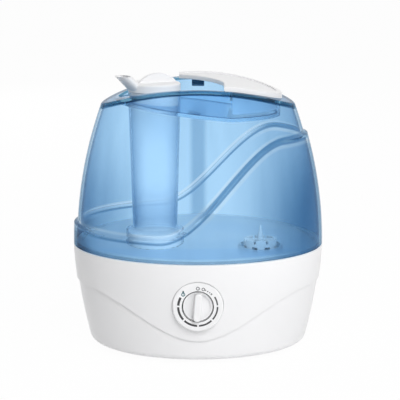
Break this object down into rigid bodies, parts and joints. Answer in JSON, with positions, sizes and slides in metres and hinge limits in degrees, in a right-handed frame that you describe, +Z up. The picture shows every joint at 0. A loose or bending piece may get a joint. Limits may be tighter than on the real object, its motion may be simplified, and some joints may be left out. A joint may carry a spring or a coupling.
{
  "type": "cool mist humidifier",
  "caption": "Tabletop cool mist humidifier: oval base with a front dial, lift-off see-through tank with a mist chimney, turning spout, filler valve and carry handle.",
  "frame": {"origin": "middle of the footprint, on the surface that the feet stand on", "axes": "+Z up, -Y to the front with the dial, -X to the side that the spout points to"},
  "size_m": [0.22, 0.1892, 0.2395],
  "materials": {
    "white_shell": "moulded gloss",
    "white_inner": "moulded satin",
    "blue_tank": "see-through gloss",
    "grey_rubber": "matt",
    "steel": "plain",
    "bare_aluminium": "plain",
    "black_plastic": "fine texture",
    "green_board": "varnished",
    "magnet": "sintered",
    "clear_glass": "clear"
  },
  "bodies": {
    "base": {"base_housing": "white_shell", "bottom_cover": "white_inner", "rubber_feet": "grey_rubber", "cover_screws": "steel", "water_tray": "white_inner", "sump_cup": "white_inner", "mist_tube": "white_inner", "transducer_disc": "steel", "transducer_seal": "grey_rubber", "transducer_clamp": "bare_aluminium", "clamp_screws": "steel", "fan_frame": "black_plastic", "air_duct": "white_inner", "driver_board": "green_board", "heat_sink": "bare_aluminium", "filter_capacitors": "black_plastic", "reed_switch": "clear_glass", "power_inlet": "black_plastic", "dial_bezel": "white_shell", "control_board": "green_board", "potentiometer": "black_plastic", "float_clip": "white_inner"},
    "fan": {"fan_rotor": "black_plastic", "fan_shaft": "steel"},
    "knob": {"dial_knob": "white_shell", "control_shaft": "steel"},
    "float": {"float_ring": "white_inner", "float_magnet": "magnet"},
    "tank": {"tank_shell": "blue_tank", "tank_floor": "blue_tank", "mist_chimney": "blue_tank", "tank_handle": "white_shell"},
    "cap": {"tank_cap": "white_inner", "cap_gasket": "grey_rubber", "valve_cage": "white_inner", "valve_spring": "steel"},
    "valve": {"valve_stem": "white_inner", "valve_seal": "grey_rubber"},
    "nozzle": {"mist_nozzle": "white_shell"}
  },
  "joints": [
    {"name": "tank_lift", "type": "slide", "parent": "base", "child": "tank", "axis": [0, 0, 1], "range_m": [0, 0.08]},
    {"name": "nozzle_turn", "type": "hinge", "parent": "tank", "child": "nozzle", "pos_m": [-0.038, 0, 0.224], "axis": [0, 0, 1], "continuous": true},
    {"name": "knob_turn", "type": "hinge", "parent": "base", "child": "knob", "pos_m": [0, -0.089, 0.054], "axis": [0, 1, 0], "range_deg": [0, 290]},
    {"name": "fan_spin", "type": "hinge", "parent": "base", "child": "fan", "pos_m": [0.008, 0.037, 0.012], "axis": [0, 0, 1], "continuous": true},
    {"name": "float_rise", "type": "slide", "parent": "base", "child": "float", "axis": [0, 0, 1], "range_m": [0, 0.008]},
    {"name": "cap_turn", "type": "hinge", "parent": "tank", "child": "cap", "pos_m": [0.055, -0.008, 0.07], "axis": [0, 0, -1], "range_deg": [0, 90]},
    {"name": "valve_travel", "type": "slide", "parent": "cap", "child": "valve", "axis": [0, 0, 1], "range_m": [-0.0047, 0], "deforming": ["valve_spring"]}
  ],
  "couplings": [
    {"joint": "valve_travel", "follows": "tank_lift", "ratio": -0.05875}
  ]
}
